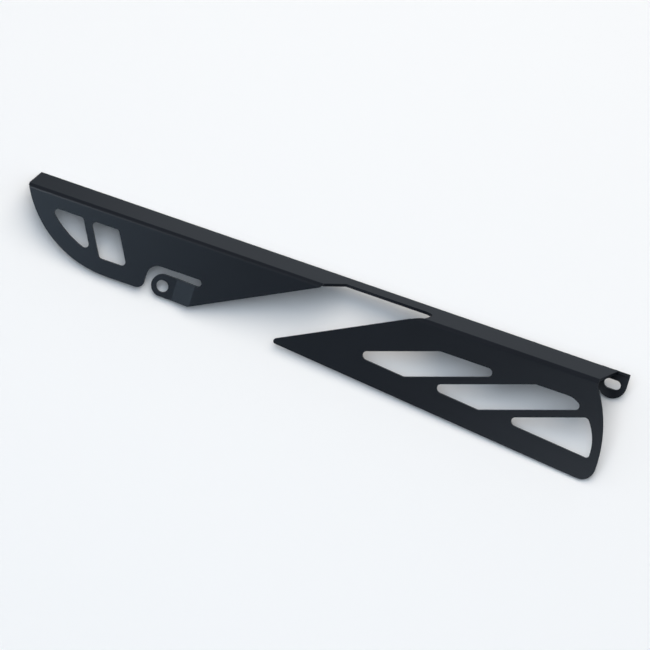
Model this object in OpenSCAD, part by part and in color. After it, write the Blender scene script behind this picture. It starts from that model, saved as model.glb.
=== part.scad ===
// Motorcycle chain guard, cut from one flat sheet and folded.
// The origin is on the axis of the front bolt hole, at the inboard face of the front tab.
// +X runs back along the guard, +Y inboard from the side plate, +Z up.

/* [Sheet] */
// Thickness of the sheet
sheet = 2; // [1.5:0.25:2.5]
// Inside radius of the long fold and of the rear tab's bend
bend_r = 1; // [0.5:0.25:2]

/* [Mounts] */
// Distance between the front bolt hole and the middle of the rear slot
mount_pitch = 304.2; // [298:0.1:312]

/* [Side plate] */
// Height of the flange's top face over the front bolt hole
top_h = 38.2; // [36:0.2:42]
// Depth of the front lobe's straight lower edge under the front bolt hole
lobe_depth = 5.9; // [5:0.1:7]
// Radius of the swept front edge
sweep_r = 75; // [70:0.5:85]
// Distance from the front bolt hole forward to where the sweep starts
sweep_x = 37.7; // [32:0.1:44]
// Radius of the lobe's corner beside the front tab
lobe_r = 5; // [2:0.5:6]
// Distance from the middle of the rear slot back to the rearmost point of the plate
rear_reach = 10.1; // [8:0.1:14]
// Radius of the rear edge
rear_r = 94; // [90:1:110]
// Depth of the rear edge's rearmost point under the front bolt hole
rear_belly = 17.3; // [14:0.1:20]
// Height at which the rear edge leaves its arc and runs up to the flange
heel_h = 33; // [30:0.1:34]
// Slant of the rear edge above that height, in degrees from upright
heel_slant = 6; // [2:1:14]
// Depth of the lower edge under the front bolt hole, measured at the rearmost point
tail_drop = 32; // [28:0.5:36]
// Fall of the lower edge towards the rear, in degrees
rake_angle = 5.1; // [4:0.1:6]
// Radius of the lower rear corner
tail_r = 9.5; // [6:0.5:11]

/* [Flange] */
// Width of the flange, from the plate's outer face to its free edge
flange_w = 35.5; // [30:0.5:42]
// How much further back the flange's rear end reaches at its free edge
flange_flare = 6.6; // [3:0.2:8]

/* [Notch] */
// Where the notch's front side meets the long fold, back from the front bolt hole
notch_x = 101.9; // [95:0.1:108]
// Length of the notch along the long fold
notch_w = 64.6; // [55:0.2:70]
// Angle of the notch's sides in the plate, in degrees from the flange
notch_angle = 27.6; // [26:0.1:30]
// Depth of the notch in the flange, from the plate's outer face
notch_depth = 19.8; // [15:0.2:22]
// How far the notch's front side runs back over that depth
notch_run = 14.4; // [10:0.2:18]
// Length of the notch at its full depth in the flange
notch_inner_w = 63.3; // [56:0.2:70]
// Radius of the notch's front corner in the flange
notch_front_r = 1.5; // [1:0.5:4]
// Radius of the notch's rear corner in the flange
notch_r = 5.5; // [3:0.5:7]
// Radius of the plate's tip under the notch
tip_r = 1.8; // [1:0.2:3]

/* [Windows] */
// Width of a window, square to its long sides
window_w = 17.65; // [15:0.05:19]
// Width of the bar between two windows
bar_w = 4.85; // [4:0.05:6.5]
// Angle of the rear windows' bars, in degrees from the flange
rear_bar_angle = 19.4; // [17:0.1:22]
// Angle of the front windows' bars, in degrees from the flange
front_bar_angle = 62.2; // [58:0.1:66]
// Length from the first rear window's rear end back to the rearmost point of the plate
first_end = 122.3; // [118:0.1:126]
// Place of the front window's rear side on the upper rim, forward of the bolt hole
front_window_x = 38.5; // [34:0.1:42]
// Height of the plate left over the rear windows, under the flange's top face
rim_top = 17.2; // [15:0.1:19]
// Width of the plate left under the rear windows
rim_low = 15.15; // [13:0.05:17]
// Width of the plate left round the front windows
rim_front = 10.4; // [9:0.1:12]
// Corner radius of the rear windows
rear_window_r = 3.2; // [2:0.1:4]
// Corner radius of the front windows
front_window_r = 2.8; // [2:0.1:3.5]
// Length from the middle rear window's blunt end back to the rearmost point of the plate
middle_end = 29; // [26:0.5:34]
// Slant of that blunt end, in degrees from the flange
middle_slant = 26; // [20:1:32]
// Radius of that blunt end's upper corner
middle_r = 12; // [6:1:14]
// Height of the last window's round rear side, its centre over the tail's corner
last_lift = 20; // [16:0.5:24]
// Radius of the last window's round rear side
last_r = 35.2; // [32:0.2:38]
// Width of the plate left behind the last window
rim_rear = 6.6; // [5:0.1:9]
// Radius of the last window's lower rear corner
last_low_r = 2.4; // [2:0.1:4]

/* [Front tab] */
// Width of the front tab
tab_w = 15.5; // [14:0.5:17]
// How far the bolt hole sits under the tab's middle line
hole_drop = 0.4; // [0:0.1:1]
// Diameter of the front bolt hole
bolt_d = 8.5; // [6:0.1:9]
// Offset of the front tab inboard of the plate
joggle = 2; // [1.2:0.1:5]
// Slope of the joggle, in degrees
joggle_angle = 9; // [8:0.5:16]
// Inside radius of the joggle's two bends
joggle_r = 6; // [1:0.5:6]
// Start of the joggle, back from the bolt hole
joggle_x = 8.3; // [6:0.1:10]
// Clear width between the front tab's round end and the plate
relief_gap = 4.5; // [3:0.1:5.5]
// Clear width between the front tab's upper edge and the plate
slot_gap = 5.1; // [4:0.1:6]
// Radius of the relief's corner round the tab
relief_r = 8.5; // [5:0.5:9]
// End of the relief slot, back from the bolt hole
slot_end = 25.4; // [25:0.1:32]
// Radius of the lower corner between the front tab and the notch
low_corner_r = 3; // [1:0.5:6]

/* [Rear tab] */
// Width of the rear tab
rear_tab_w = 19.6; // [18:0.1:22]
// Depth of the rear slot under the flange's top face
rear_slot_drop = 10.4; // [10:0.1:14]
// Width of the rear slot
slot_w = 6.8; // [5:0.1:8]
// Overall length of the rear slot
slot_l = 11.6; // [9:0.1:13.5]

/* [Hidden] */
$fn = 96;
bend_out = bend_r + sheet;
fold_z = top_h - bend_out;
plate_y = -joggle - sheet;
flat_y = plate_y + bend_out;
edge_y = plate_y + flange_w;
beyond = 60;
clear = sheet / 2;
overlap = sheet / 1000;
step = sheet / 20;
over = top_h + clear;
tab_top = tab_w / 2 + hole_drop;
tab_low = hole_drop - tab_w / 2;
relief_x = -tab_w / 2 - relief_gap;
relief_top = tab_top + slot_gap;
joggle_mid_r = joggle_r + sheet / 2;
joggle_flat = (joggle - 2 * joggle_mid_r * (1 - cos(joggle_angle))) / sin(joggle_angle);
joggle_end = joggle_x + 2 * joggle_mid_r * sin(joggle_angle) + joggle_flat * cos(joggle_angle);
sweep_c = [-sweep_x, sweep_r - lobe_depth];
flange_mid = top_h - sheet / 2;
flange_front = sweep_c.x - sqrt(sweep_r ^ 2 - (top_h - sweep_c.y) ^ 2) - step;
notch_end = notch_x + notch_w;
notch_lead = notch_run / notch_depth * bend_out;
fold_run = bend_out * PI / 2 / tan(notch_angle);
rear_x = mount_pitch + rear_reach;
rear_c = [rear_x - rear_r, -rear_belly];
heel = [rear_c.x + sqrt(rear_r ^ 2 - (heel_h - rear_c.y) ^ 2), heel_h];
flange_rear = heel.x - (flange_mid - heel_h) * tan(heel_slant);
tail = [rear_x, -tail_drop];
rake_dir = unit(-rake_angle);
notch_dir = unit(notch_angle);
bar_dir = unit(rear_bar_angle);
front_dir = unit(-front_bar_angle);
last_c = [rear_x - rim_rear - last_r, tail.y + last_lift];
slot_c = [mount_pitch, top_h - rear_slot_drop];

// Direction of a line at an angle
function unit(a) = [cos(a), sin(a)];

// Left-hand normal of a direction
function left(d) = [-d.y, d.x];

// Point where two lines meet, each given by a point and a direction
function meet(p, d, q, e) = p + d * (((q - p).x * e.y - (q - p).y * e.x) / (d.x * e.y - d.y * e.x));

// Point where a line leaves a circle, going along its direction
function leave(p, d, c, r) = p + d * (sqrt((d * (c - p)) ^ 2 - (c - p) * (c - p) + r ^ 2) + d * (c - p));

// Corner's half angle and the unit directions from it to its neighbours
function toward(a, b) = (b - a) / norm(b - a);
function half_angle(a, v, b) = acos(toward(v, a) * toward(v, b)) / 2;
function reach(a, v, b, r) = r / tan(half_angle(a, v, b));
function bisector(a, v, b) = (toward(v, a) + toward(v, b)) / norm(toward(v, a) + toward(v, b));
function corner_centre(a, v, b, r) = v + bisector(a, v, b) * r / sin(half_angle(a, v, b));
function turn(a, v, b) = (v - a).x * (b - v).y - (v - a).y * (b - v).x;

// Polygon drawn anticlockwise, its corners rounded by true arcs, one radius a corner
module rounded(points, radii) {
    n = len(points);
    difference() {
        union() {
            polygon(points);
            for (i = [0:n - 1]) round_corner(points, radii, i, -1);
        }
        for (i = [0:n - 1]) round_corner(points, radii, i, 1);
    }
}

// What rounding adds at a corner that turns inward (way -1) or takes off one that turns outward
module round_corner(points, radii, i, way) {
    n = len(points);
    a = points[(i + n - 1) % n];
    v = points[i];
    b = points[(i + 1) % n];
    if (radii[i] > 0 && turn(a, v, b) * way > 0)
        spandrel(corner_centre(a, v, b, radii[i]), v + toward(v, a) * reach(a, v, b, radii[i]), v,
            v + toward(v, b) * reach(a, v, b, radii[i]), radii[i]);
}

// Space between a corner and the arc that rounds it, from the arc's centre and its two ends
module spandrel(k, t_a, v, t_b, r) {
    difference() {
        polygon([k, k + (t_a - k) * 1.3, k + (v - k) * 1.3, k + (t_b - k) * 1.3]);
        translate(k) circle(r + overlap);
    }
}

// Rounds the corner where a side runs out into a big arc; hand is 1 if the shape is left of it
module arc_corner(p, d, hand, c, big_r, r) {
    side = left(d) * hand;
    k = leave(p + side * r, d, c, big_r - r);
    v = leave(p, d, c, big_r);
    difference() {
        children();
        spandrel(k, k - side * r, v, c + toward(c, k) * big_r, r);
    }
}

// Everything behind the swept front edge
module front_bound() {
    translate(sweep_c) circle(sweep_r, $fn = 360);
    translate([sweep_c.x, -beyond]) square([rear_x + beyond * 2, over + beyond]);
}

// Everything in front of the rear edge, which is an arc up to the heel and straight above it
module rear_bound() {
    up = 2 * (top_h - heel_h);
    slant = [up * tan(heel_slant), -up];
    translate(rear_c) circle(rear_r, $fn = 360);
    translate([-beyond * 3, -beyond]) square([rear_c.x + beyond * 3, over + beyond]);
    polygon([heel + slant, heel - slant, [rear_c.x, heel.y + up], [rear_c.x, heel.y - up]]);
}

// Front part of the side plate and the front tab, seen from outside
module front_outline() {
    low_corner = meet([0, tab_low], [1, 0], [notch_x, fold_z], notch_dir);
    slot_mid = [slot_end - slot_gap / 2, tab_top + slot_gap / 2];
    difference() {
        intersection() {
            rounded(
                [[flange_front - beyond, over], [flange_front - beyond, -lobe_depth], [relief_x, -lobe_depth],
                 [relief_x, relief_top], [slot_mid.x, relief_top], [slot_mid.x, tab_top],
                 [0, tab_top], [0, tab_low], low_corner,
                 meet([notch_x, fold_z], notch_dir, [0, over], [1, 0])],
                [0, 0, lobe_r, relief_r, 0, 0, 0, 0, low_corner_r, 0]);
            front_bound();
        }
        translate(slot_mid) circle(slot_gap / 2);
    }
    translate([0, hole_drop]) circle(tab_w / 2);
}

// Rear part of the side plate, behind the notch
module rear_outline() {
    tip = meet([notch_end, fold_z], notch_dir, tail, rake_dir);
    arc_corner(tip, rake_dir, 1, rear_c, rear_r, tail_r)
        intersection() {
            rounded(
                [meet([notch_end, fold_z], notch_dir, [0, over], [1, 0]), tip,
                 tail + rake_dir * beyond, [rear_x + beyond, over]],
                [0, tip_r, 0, 0]);
            rear_bound();
        }
}

// Strip of the front tab that the joggle moves inboard
module tab_zone() {
    translate([relief_x + relief_gap / 2, tab_low - clear])
        square([joggle_end - relief_x - relief_gap / 2, tab_w + clear + slot_gap / 2]);
}

// Two windows of the front part, a slanted one and one that follows the swept edge
module front_windows() {
    rim_z = top_h - rim_front;
    low_z = rim_front - lobe_depth;
    front_end = [-front_window_x, rim_z];
    window_front = front_end - left(front_dir) * window_w;
    next_rear = window_front - left(front_dir) * bar_w;
    rounded(
        [meet(window_front, front_dir, [0, rim_z], [1, 0]), meet(window_front, front_dir, [0, low_z], [1, 0]),
         meet(front_end, front_dir, [0, low_z], [1, 0]), front_end],
        [for (i = [0:3]) front_window_r]);
    top_corner = meet(next_rear, front_dir, [0, rim_z], [1, 0]);
    arc_corner(top_corner, front_dir, -1, sweep_c, sweep_r - rim_front, front_window_r)
        arc_corner(top_corner, [-1, 0], 1, sweep_c, sweep_r - rim_front, front_window_r)
            intersection() {
                rounded(
                    [top_corner, top_corner - [beyond, 0], top_corner + beyond * [-1, -1],
                     top_corner + front_dir * beyond],
                    [front_window_r, 0, 0, 0]);
                translate(sweep_c) circle(sweep_r - rim_front, $fn = 360);
            }
}

// Upper side of rear window number i, as a point on it
function window_side(i) =
    [rear_x - first_end, top_h - rim_top] - left(bar_dir) * (window_w + bar_w) * i;

// Three windows of the rear part, cut from one band by slanted bars
module rear_windows() {
    rim_z = [0, top_h - rim_top];
    low = tail + left(rake_dir) * rim_low;
    first = window_side(0);
    first_low = first - left(bar_dir) * window_w;
    rounded(
        [meet(first, bar_dir, low, rake_dir), meet(first_low, bar_dir, low, rake_dir),
         meet(first_low, bar_dir, rim_z, [1, 0]), first],
        [for (i = [0:3]) rear_window_r]);
    middle = window_side(1);
    middle_low = middle - left(bar_dir) * window_w;
    blunt = [rear_x - middle_end, rim_z.y];
    blunt_dir = unit(-middle_slant);
    rounded(
        [meet(middle, bar_dir, low, rake_dir), meet(middle_low, bar_dir, low, rake_dir),
         meet(middle_low, bar_dir, blunt, blunt_dir), blunt, meet(middle, bar_dir, rim_z, [1, 0])],
        [rear_window_r, rear_window_r, rear_window_r, middle_r, rear_window_r]);
    last = window_side(2);
    last_tip = meet(last, bar_dir, low, rake_dir);
    arc_corner(last_tip, bar_dir, -1, last_c, last_r, rear_window_r)
        arc_corner(last_tip, rake_dir, 1, last_c, last_r, last_low_r)
            intersection() {
                rounded(
                    [last_tip, last_tip + rake_dir * beyond * 2, last_tip + bar_dir * beyond * 2],
                    [rear_window_r, 0, 0]);
                union() {
                    translate(last_c) circle(last_r, $fn = 240);
                    translate([last_tip.x - clear, last_c.y - last_r])
                        square([last_c.x - last_tip.x + clear, 2 * last_r]);
                }
            }
}

// Extrudes a side view inboard from the plate's outer face
module side(depth) {
    translate([0, plate_y + depth, 0]) rotate([90, 0, 0]) linear_extrude(depth) children();
}

// Flat side plate, up to the start of the long fold
module side_plate() {
    side(sheet)
        difference() {
            intersection() {
                union() {
                    difference() {
                        front_outline();
                        tab_zone();
                    }
                    rear_outline();
                }
                translate([flange_front - beyond, -beyond]) square([rear_x + 3 * beyond, fold_z + beyond]);
            }
            front_windows();
            rear_windows();
        }
}

// Quarter ring of the sheet's section, bent round a centre at the origin, in the upper left
module bend_section() {
    intersection() {
        difference() {
            circle(bend_out);
            circle(bend_r);
        }
        translate([-bend_out, 0]) square(bend_out);
    }
}

// Two points moved apart along their line, so that a cut reaches past both
function stretch(a, b) = [a + (a - b) / 4, b + (b - a) / 4];

// Long fold between the plate and the flange, with the notch carried round it by a slanted cut
module long_fold() {
    half = bend_out / sqrt(2);
    front_cut = stretch([notch_x - step, -half], [notch_x + notch_lead + step, half]);
    rear_cut = stretch([notch_end + fold_run + step, half], [notch_end - step, -half]);
    difference() {
        intersection() {
            translate([flange_front - beyond, flat_y, fold_z]) rotate([90, 0, 90])
                linear_extrude(rear_x - flange_front + 2 * beyond) bend_section();
            side(bend_out) intersection() {
                front_bound();
                rear_bound();
            }
        }
        translate([0, flat_y, fold_z]) rotate([45, 0, 0]) translate([0, 0, bend_r / 4])
            linear_extrude(bend_out * 2) polygon(concat(front_cut, rear_cut));
    }
}

// Flange across the top, notched over the chain run
module flange() {
    notch_y = plate_y + notch_depth;
    translate([0, 0, top_h - sheet]) linear_extrude(sheet)
        rounded(
            [[flange_front, flat_y], [notch_x + notch_lead, flat_y], [notch_x + notch_run, notch_y],
             [notch_x + notch_run + notch_inner_w, notch_y], [notch_end + fold_run, flat_y],
             [flange_rear, flat_y], [flange_rear + flange_flare, edge_y], [flange_front, edge_y]],
            [0, 0, notch_front_r, notch_r, 0, 0, 0, 0]);
}

// Front tab, set inboard of the plate by the joggle
module front_tab() {
    first_c = [joggle_x, -sheet - joggle_r];
    second_c = [joggle_end, joggle_r - joggle];
    out = unit(90 - joggle_angle / 2) / cos(joggle_angle / 2);
    intersection() {
        translate([0, 0, tab_low - clear]) linear_extrude(tab_w + 2 * clear)
            rounded(
                [[-tab_w, -sheet], first_c + out * joggle_r, second_c - out * (joggle_r + sheet),
                 [joggle_end, plate_y], [joggle_end, -joggle], second_c - out * joggle_r,
                 first_c + out * (joggle_r + sheet), [-tab_w, 0]],
                [0, joggle_r, joggle_r + sheet, 0, 0, joggle_r, joggle_r + sheet, 0]);
        side(joggle + sheet)
            intersection() {
                front_outline();
                tab_zone();
            }
    }
}

// Rear tab, folded down from the flange's free edge
module rear_tab() {
    tab_front = slot_c.x - rear_tab_w / 2;
    translate([tab_front, edge_y, fold_z]) rotate([90, 0, 90])
        linear_extrude(rear_tab_w) mirror([1, 0]) bend_section();
    translate([0, edge_y + bend_out, 0]) rotate([90, 0, 0]) linear_extrude(sheet)
        union() {
            translate(slot_c) circle(rear_tab_w / 2);
            translate([tab_front, slot_c.y]) square([rear_tab_w, fold_z - slot_c.y]);
        }
}

// Bolt hole in the front tab and slot in the rear tab
module fixing_holes() {
    through = sheet + 2 * clear;
    translate([0, clear, 0]) rotate([90, 0, 0]) cylinder(h = through, d = bolt_d);
    translate([slot_c.x, edge_y + bend_out + clear, slot_c.y]) rotate([90, 0, 0]) linear_extrude(through)
        union() {
            for (s = [-1, 1]) translate([s * (slot_l - slot_w) / 2, 0]) circle(d = slot_w);
            translate([(slot_w - slot_l) / 2, -slot_w / 2]) square([slot_l - slot_w, slot_w]);
        }
}

// The whole guard, one folded sheet
module chain_guard() {
    color([0.13, 0.14, 0.16])
        difference() {
            union() {
                side_plate();
                long_fold();
                flange();
                front_tab();
                rear_tab();
            }
            fixing_holes();
        }
}

chain_guard();
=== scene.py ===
import math

import bmesh
import bpy
from mathutils import Matrix, Vector


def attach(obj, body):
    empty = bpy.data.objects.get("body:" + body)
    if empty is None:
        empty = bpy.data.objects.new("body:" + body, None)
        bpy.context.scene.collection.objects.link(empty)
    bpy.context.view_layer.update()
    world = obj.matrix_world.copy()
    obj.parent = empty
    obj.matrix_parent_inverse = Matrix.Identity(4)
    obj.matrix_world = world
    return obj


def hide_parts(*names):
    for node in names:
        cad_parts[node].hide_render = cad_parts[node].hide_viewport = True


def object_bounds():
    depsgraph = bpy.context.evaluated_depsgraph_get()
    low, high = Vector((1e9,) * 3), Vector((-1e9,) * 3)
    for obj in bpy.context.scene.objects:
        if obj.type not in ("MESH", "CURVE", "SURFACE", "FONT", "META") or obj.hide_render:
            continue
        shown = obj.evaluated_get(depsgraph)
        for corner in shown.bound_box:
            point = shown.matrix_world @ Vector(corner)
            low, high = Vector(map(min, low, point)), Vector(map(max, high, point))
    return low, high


# Folded chain guard lying on a pale table, its side plate up, seen through a long lens

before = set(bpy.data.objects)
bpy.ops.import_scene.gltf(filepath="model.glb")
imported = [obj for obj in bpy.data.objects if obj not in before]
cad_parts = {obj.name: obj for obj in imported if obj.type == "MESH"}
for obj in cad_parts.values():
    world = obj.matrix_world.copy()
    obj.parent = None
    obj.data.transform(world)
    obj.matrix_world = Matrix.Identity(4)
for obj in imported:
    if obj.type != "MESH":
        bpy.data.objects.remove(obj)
cad_low, cad_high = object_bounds()

MM = 0.001

# Camera, as it stands to the guard: degrees round it, above it and turned about the line of sight
CAMERA_AROUND = 8.34
CAMERA_ABOVE = 16.12
CAMERA_ROLL = 16.75
CAMERA_DISTANCE = 6.0
CAMERA_NEAR = 0.1
CAMERA_FAR = 50.0
AIM = Vector((0.10986, 0.01784, 0.0058))

# Picture: pixels in a metre at the aim, pixels on a side, and the sensor's width in millimetres
PIXELS_PER_METRE = 1498.0
IMAGE_SIDE = 650
SENSOR_WIDTH = 36.0

# Guard's mesh: corners this close are merged, and bends flatter than this become flat
MERGE_DISTANCE = 0.001 * MM
FLAT_ANGLE = math.radians(0.4)
# Edges sharper than this are cut ones, which the coat rounds by this much
CUT_ANGLE = math.radians(50)
CUT_ROUND = 0.28 * MM
CUT_ROUND_STEPS = 2
# Bends sharper than this are shaded as edges
SMOOTH_ANGLE = math.radians(33)

# Where the guard touches the table: the flange's front end, the rear tab and the plate's heel
FRONT_TOUCH_INSET = 3 * MM
TAB_TOUCH_X = 0.304
TAB_TOUCH_Z = 0.018
HEEL_TOUCH_X = 0.305
HEEL_TOUCH_Y = -2 * MM
FRONT_TOUCH = Vector((cad_low.x, cad_high.y - FRONT_TOUCH_INSET, cad_high.z))
TAB_TOUCH = Vector((TAB_TOUCH_X, cad_high.y, TAB_TOUCH_Z))
HEEL_TOUCH = Vector((HEEL_TOUCH_X, HEEL_TOUCH_Y, cad_low.z))
TABLE_SIDE = 6.0
TABLE_GAP = 0.3 * MM

# Colours of the coat and the table, linear
COAT_DARK = (0.0046, 0.0058, 0.0088)
COAT_LIGHT = (0.0068, 0.0084, 0.0124)
TABLE_COLOUR = (0.93, 0.92, 0.91)
TABLE_SHADE = 0.985

# Powder coat: size of each noise as waves in a metre, and how fine it gets
BROAD_WAVES = 22.0
BROAD_DETAIL = 3.0
GRAIN_WAVES = 1500.0
GRAIN_DETAIL = 2.0
SKIN_WAVES = 420.0
SKIN_DETAIL = 1.0
# Shares of the noises in the coat's tone, and of the grain in the height of its skin
BROAD_IN_TONE = 0.65
GRAIN_IN_TONE = 0.35
GRAIN_IN_HEIGHT = 0.4
# Tones of the noises at which the coat is at its darkest and at its lightest
TONE_DARKEST = 0.3
TONE_LIGHTEST = 0.7
COAT_ROUGHNESS = 0.36
COAT_SPECULAR = 0.2
COAT_BUMP = 0.12
COAT_BUMP_HEIGHT = 0.05 * MM
TABLE_CLOUD_WAVES = 3.0

# Colours of the light
WARM = (1.0, 0.90, 0.79)
COOL = (0.79, 0.89, 1.0)
PALE_COOL = (0.80, 0.90, 1.0)
PALEST_COOL = (0.9, 0.95, 1.0)
BLUE = (0.62, 0.81, 1.0)

# Brightness of the tent in front of the table, over and behind it, and under its level
TENT_FRONT = 0.042
TENT_BACK = 0.5
TENT_UNDER = 0.235
# Where the tent's front ends and its back starts: -1 is straight in front of the table, 1 behind it
TENT_FRONT_END = -0.72
TENT_BACK_START = -0.2
# Where the tent's under side ends: -1 is straight down from the table, 0 its own level
TENT_UNDER_END = -0.3
# Brightness that the camera sees past the table
BACKDROP_WHITE = 0.95

# Soft boxes that light only what is matt, aimed at the guard's middle. Each stands so many metres
# from there: up off the table, and along the camera's rise, back and right. Its side is in metres
MATT_BOXES = {
    "over_table": {
        "up": 1.7, "rise": 1.2, "back": 0.0, "right": 0.4,
        "side": 2.2, "watts": 34.0, "colour": WARM,
    },
    "front": {
        "up": 0.9, "rise": 0.0, "back": 1.3, "right": -0.2,
        "side": 1.6, "watts": 20.5, "colour": COOL,
    },
}

# Soft boxes that only the coat's gloss shows, with their places and the spots that they aim at:
# left_side for the plate's light front end, behind_right for the flange's lighter rear, left_fold
# for the light line at the fold's front end, and right_side for the plate's lower rear corner
GLOSS_BOXES = {
    "left_side": {
        "place": (-0.29, -0.74, -0.21), "aim": (-0.08, 0.0, 0.0),
        "side": 0.2, "watts": 1.25, "colour": BLUE,
    },
    "behind_right": {
        "place": (0.03, 0.97, 0.316), "aim": (0.17, 0.02, 0.04),
        "side": 0.5, "watts": 0.13, "colour": PALEST_COOL,
    },
    "left_fold": {
        "place": (-0.40, -0.73, 0.225), "aim": (-0.1, 0.0, 0.035),
        "side": 0.15, "watts": 5.5, "colour": PALE_COOL,
    },
    "right_side": {
        "place": (0.34, -0.66, -0.36), "aim": (0.30, 0.0, -0.02),
        "side": 0.25, "watts": 1.9, "colour": PALE_COOL,
    },
}


def camera_axes():
    """The camera's right, its rise and the way back from the guard to it."""
    around = math.radians(CAMERA_AROUND)
    above = math.radians(CAMERA_ABOVE)
    roll = math.radians(CAMERA_ROLL)
    back = Vector((
        math.sin(around) * math.cos(above),
        -math.cos(around) * math.cos(above),
        math.sin(above),
    ))
    level = Vector((math.cos(around), math.sin(around), 0.0))
    upright = back.cross(level)
    right = level * math.cos(roll) + upright * math.sin(roll)
    return right, back.cross(right), back


def table_axes():
    """The table's directions: along the guard, across it and up."""
    up = (HEEL_TOUCH - FRONT_TOUCH).cross(TAB_TOUCH - FRONT_TOUCH).normalized()
    along = (TAB_TOUCH - FRONT_TOUCH).normalized()
    return along, up.cross(along), up


def matrix_of(right, up, back, place):
    """A placing matrix from three directions and a place."""
    rows = [(right[i], up[i], back[i], place[i]) for i in range(3)]
    return Matrix(rows + [(0.0, 0.0, 0.0, 1.0)])


# Node helpers

def new_material(name):
    """An empty node material and its tree."""
    material = bpy.data.materials.new(name)
    material.use_nodes = True
    material.node_tree.nodes.clear()
    return material, material.node_tree


def add(tree, kind, place, **values):
    """A node with its plain settings."""
    node = tree.nodes.new(kind)
    node.location = place
    for key, value in values.items():
        setattr(node, key, value)
    return node


def add_noise(tree, place, waves, detail):
    """A noise of so many waves in a metre."""
    noise = add(tree, "ShaderNodeTexNoise", place)
    noise.inputs["Scale"].default_value = waves
    noise.inputs["Detail"].default_value = detail
    return noise


def coat_grain_group():
    """Fine grain of a powder coat: its tone, and the height of its skin."""
    group = bpy.data.node_groups.new("coat_grain", "ShaderNodeTree")
    group.interface.new_socket("Tone", in_out="OUTPUT", socket_type="NodeSocketFloat")
    group.interface.new_socket("Height", in_out="OUTPUT", socket_type="NodeSocketFloat")
    place = add(group, "ShaderNodeTexCoord", (-900, 0))
    broad = add_noise(group, (-600, 200), BROAD_WAVES, BROAD_DETAIL)
    grain = add_noise(group, (-600, -50), GRAIN_WAVES, GRAIN_DETAIL)
    skin = add_noise(group, (-600, -300), SKIN_WAVES, SKIN_DETAIL)
    tone = add(group, "ShaderNodeMath", (-300, 150), operation="MULTIPLY_ADD")
    tone.inputs[1].default_value = GRAIN_IN_TONE
    height = add(group, "ShaderNodeMath", (-300, -200), operation="MULTIPLY_ADD")
    height.inputs[1].default_value = GRAIN_IN_HEIGHT
    broad_share = add(group, "ShaderNodeMath", (-450, 330), operation="MULTIPLY")
    broad_share.inputs[1].default_value = BROAD_IN_TONE
    out = add(group, "NodeGroupOutput", (0, 0))
    for noise in (broad, grain, skin):
        group.links.new(place.outputs["Object"], noise.inputs["Vector"])
    group.links.new(broad.outputs["Fac"], broad_share.inputs[0])
    group.links.new(grain.outputs["Fac"], tone.inputs[0])
    group.links.new(broad_share.outputs[0], tone.inputs[2])
    group.links.new(grain.outputs["Fac"], height.inputs[0])
    group.links.new(skin.outputs["Fac"], height.inputs[2])
    group.links.new(tone.outputs[0], out.inputs["Tone"])
    group.links.new(height.outputs[0], out.inputs["Height"])
    return group


def coat_material(grain):
    """Satin black powder coat."""
    material, tree = new_material("black_powder_coat")
    texture = add(tree, "ShaderNodeGroup", (-700, 0), node_tree=grain)
    tones = add(tree, "ShaderNodeValToRGB", (-450, 150))
    tones.color_ramp.elements[0].position = TONE_DARKEST
    tones.color_ramp.elements[0].color = (*COAT_DARK, 1.0)
    tones.color_ramp.elements[1].position = TONE_LIGHTEST
    tones.color_ramp.elements[1].color = (*COAT_LIGHT, 1.0)
    bump = add(tree, "ShaderNodeBump", (-450, -200))
    bump.inputs["Strength"].default_value = COAT_BUMP
    bump.inputs["Distance"].default_value = COAT_BUMP_HEIGHT
    shader = add(tree, "ShaderNodeBsdfPrincipled", (-100, 0))
    shader.inputs["Roughness"].default_value = COAT_ROUGHNESS
    shader.inputs["Specular IOR Level"].default_value = COAT_SPECULAR
    out = add(tree, "ShaderNodeOutputMaterial", (250, 0))
    tree.links.new(texture.outputs["Tone"], tones.inputs["Fac"])
    tree.links.new(texture.outputs["Height"], bump.inputs["Height"])
    tree.links.new(tones.outputs["Color"], shader.inputs["Base Color"])
    tree.links.new(bump.outputs["Normal"], shader.inputs["Normal"])
    tree.links.new(shader.outputs["BSDF"], out.inputs["Surface"])
    return material


def table_material():
    """Pale matt table, clear from behind so that it never hides the guard."""
    material, tree = new_material("pale_table")
    place = add(tree, "ShaderNodeTexCoord", (-900, 0))
    cloud = add(tree, "ShaderNodeTexNoise", (-700, 0))
    cloud.inputs["Scale"].default_value = TABLE_CLOUD_WAVES
    tones = add(tree, "ShaderNodeValToRGB", (-450, 0))
    tones.color_ramp.elements[0].color = (*[TABLE_SHADE * c for c in TABLE_COLOUR], 1.0)
    tones.color_ramp.elements[1].color = (*TABLE_COLOUR, 1.0)
    matt = add(tree, "ShaderNodeBsdfDiffuse", (-150, 100))
    clear = add(tree, "ShaderNodeBsdfTransparent", (-150, -100))
    sides = add(tree, "ShaderNodeNewGeometry", (-150, 350))
    mix = add(tree, "ShaderNodeMixShader", (100, 0))
    out = add(tree, "ShaderNodeOutputMaterial", (300, 0))
    tree.links.new(place.outputs["Object"], cloud.inputs["Vector"])
    tree.links.new(cloud.outputs["Fac"], tones.inputs["Fac"])
    tree.links.new(tones.outputs["Color"], matt.inputs["Color"])
    tree.links.new(sides.outputs["Backfacing"], mix.inputs["Fac"])
    tree.links.new(matt.outputs["BSDF"], mix.inputs[1])
    tree.links.new(clear.outputs["BSDF"], mix.inputs[2])
    tree.links.new(mix.outputs["Shader"], out.inputs["Surface"])
    return material


# Guard and table

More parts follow.
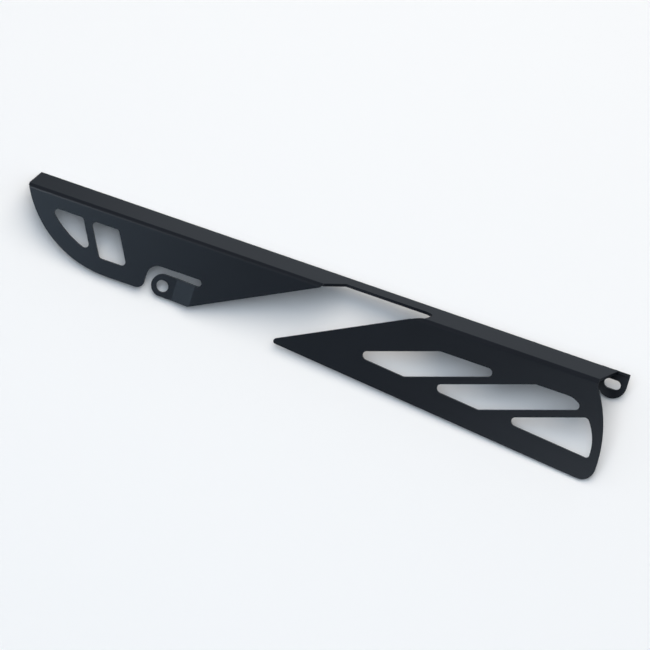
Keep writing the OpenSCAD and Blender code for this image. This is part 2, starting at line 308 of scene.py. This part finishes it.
def make_guard(material):
    """The folded sheet, with the small rounding that its coat gives to every cut edge."""
    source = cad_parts["chain_guard"]
    mesh = bmesh.new()
    mesh.from_mesh(source.data)
    bmesh.ops.remove_doubles(mesh, verts=mesh.verts, dist=MERGE_DISTANCE)
    bmesh.ops.dissolve_limit(mesh, angle_limit=FLAT_ANGLE, verts=mesh.verts, edges=mesh.edges)
    bmesh.ops.recalc_face_normals(mesh, faces=mesh.faces)
    cut_edges = [e for e in mesh.edges if e.is_manifold and e.calc_face_angle(0.0) > CUT_ANGLE]
    bmesh.ops.bevel(
        mesh,
        geom=cut_edges,
        offset=CUT_ROUND,
        offset_type="OFFSET",
        segments=CUT_ROUND_STEPS,
        profile=0.5,
        affect="EDGES",
        clamp_overlap=True,
        material=-1,
    )
    bmesh.ops.recalc_face_normals(mesh, faces=mesh.faces)
    data = bpy.data.meshes.new("guard_sheet")
    mesh.to_mesh(data)
    mesh.free()
    data.materials.append(material)
    data.polygons.foreach_set("use_smooth", [True] * len(data.polygons))
    data.set_sharp_from_angle(angle=SMOOTH_ANGLE)
    guard = bpy.data.objects.new("guard_sheet", data)
    bpy.context.scene.collection.objects.link(guard)
    shading = guard.modifiers.new("even_shading", "WEIGHTED_NORMAL")
    shading.keep_sharp = True
    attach(guard, "root")
    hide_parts("chain_guard")


def make_table(material, along, across, up):
    """The table under the guard: it takes the shadow, and never shades or lights the guard."""
    middle = (FRONT_TOUCH + TAB_TOUCH + HEEL_TOUCH) / 3 - up * TABLE_GAP
    mesh = bmesh.new()
    bmesh.ops.create_grid(
        mesh,
        x_segments=1,
        y_segments=1,
        size=TABLE_SIDE / 2,
        matrix=matrix_of(along, across, up, middle),
    )
    data = bpy.data.meshes.new("table")
    mesh.to_mesh(data)
    mesh.free()
    data.materials.append(material)
    table = bpy.data.objects.new("table", data)
    bpy.context.scene.collection.objects.link(table)
    table.visible_diffuse = False
    table.visible_glossy = False
    table.visible_shadow = False


# Light and camera

def soft_box(name, place, aim, box, in_gloss):
    """A square soft box pointed at a spot, for the coat's gloss alone or for what is matt alone."""
    lamp = bpy.data.lights.new(name, "AREA")
    lamp.shape = "SQUARE"
    lamp.size = box["side"]
    lamp.energy = box["watts"]
    lamp.color = box["colour"]
    holder = bpy.data.objects.new(name, lamp)
    holder.visible_camera = False
    holder.visible_glossy = in_gloss
    holder.visible_diffuse = not in_gloss
    holder.location = place
    holder.rotation_mode = "QUATERNION"
    holder.rotation_quaternion = (aim - place).to_track_quat("-Z", "Y")
    bpy.context.scene.collection.objects.link(holder)


def light_scene(right, rise, back, up):
    """Plain soft studio light: two large boxes for what is matt, four small ones for gloss."""
    centre = (cad_low + cad_high) / 2
    for name, box in MATT_BOXES.items():
        place = centre + up * box["up"] + rise * box["rise"] + back * box["back"] + right * box["right"]
        soft_box(name, place, centre, box, False)
    for name, box in GLOSS_BOXES.items():
        soft_box(name, Vector(box["place"]), Vector(box["aim"]), box, True)


def make_world(across, up):
    """A pale tent round the table, dimmer in front, and white where the camera looks past it."""
    world = bpy.data.worlds.new("surround")
    bpy.context.scene.world = world
    world.use_nodes = True
    tree = world.node_tree
    tree.nodes.clear()
    path = add(tree, "ShaderNodeLightPath", (-500, 300))
    way = add(tree, "ShaderNodeTexCoord", (-1100, 0))
    behind = add(tree, "ShaderNodeVectorMath", (-900, 0), operation="DOT_PRODUCT")
    behind.inputs[1].default_value = across
    level = add(tree, "ShaderNodeMapRange", (-700, 0), interpolation_type="SMOOTHSTEP")
    level.inputs["From Min"].default_value = TENT_FRONT_END
    level.inputs["From Max"].default_value = TENT_BACK_START
    level.inputs["To Min"].default_value = TENT_FRONT
    level.inputs["To Max"].default_value = TENT_BACK
    over = add(tree, "ShaderNodeVectorMath", (-900, -300), operation="DOT_PRODUCT")
    over.inputs[1].default_value = up
    blend = add(tree, "ShaderNodeMapRange", (-700, -300), interpolation_type="SMOOTHSTEP")
    blend.inputs["From Min"].default_value = TENT_UNDER_END
    blend.inputs["From Max"].default_value = 0.0
    strength = add(tree, "ShaderNodeMix", (-500, 0), data_type="FLOAT")
    strength.inputs["A"].default_value = TENT_UNDER
    tent = add(tree, "ShaderNodeBackground", (-300, 0))
    tent.inputs["Color"].default_value = (*COOL, 1.0)
    white = add(tree, "ShaderNodeBackground", (-300, -200))
    white.inputs["Color"].default_value = (1.0, 1.0, 1.0, 1.0)
    white.inputs["Strength"].default_value = BACKDROP_WHITE
    mix = add(tree, "ShaderNodeMixShader", (0, 0))
    out = add(tree, "ShaderNodeOutputWorld", (250, 0))
    tree.links.new(way.outputs["Generated"], behind.inputs[0])
    tree.links.new(way.outputs["Generated"], over.inputs[0])
    tree.links.new(behind.outputs["Value"], level.inputs["Value"])
    tree.links.new(over.outputs["Value"], blend.inputs["Value"])
    tree.links.new(blend.outputs["Result"], strength.inputs["Factor"])
    tree.links.new(level.outputs["Result"], strength.inputs["B"])
    tree.links.new(strength.outputs["Result"], tent.inputs["Strength"])
    tree.links.new(path.outputs["Is Camera Ray"], mix.inputs["Fac"])
    tree.links.new(tent.outputs["Background"], mix.inputs[1])
    tree.links.new(white.outputs["Background"], mix.inputs[2])
    tree.links.new(mix.outputs["Shader"], out.inputs["Surface"])


def make_camera(right, rise, back):
    """A long lens, set where the photograph was taken from."""
    lens = bpy.data.cameras.new("long_lens")
    lens.sensor_width = SENSOR_WIDTH
    lens.lens = PIXELS_PER_METRE * CAMERA_DISTANCE * SENSOR_WIDTH / IMAGE_SIDE
    lens.clip_start = CAMERA_NEAR
    lens.clip_end = CAMERA_FAR
    camera = bpy.data.objects.new("long_lens", lens)
    camera.matrix_world = matrix_of(right, rise, back, AIM + back * CAMERA_DISTANCE)
    bpy.context.scene.collection.objects.link(camera)
    bpy.context.scene.camera = camera


camera_right, camera_rise, camera_back = camera_axes()
table_along, table_across, table_up = table_axes()
make_guard(coat_material(coat_grain_group()))
make_table(table_material(), table_along, table_across, table_up)
light_scene(camera_right, camera_rise, camera_back, table_up)
make_world(table_across, table_up)
make_camera(camera_right, camera_rise, camera_back)
bpy.context.scene.view_settings.view_transform = "Standard"
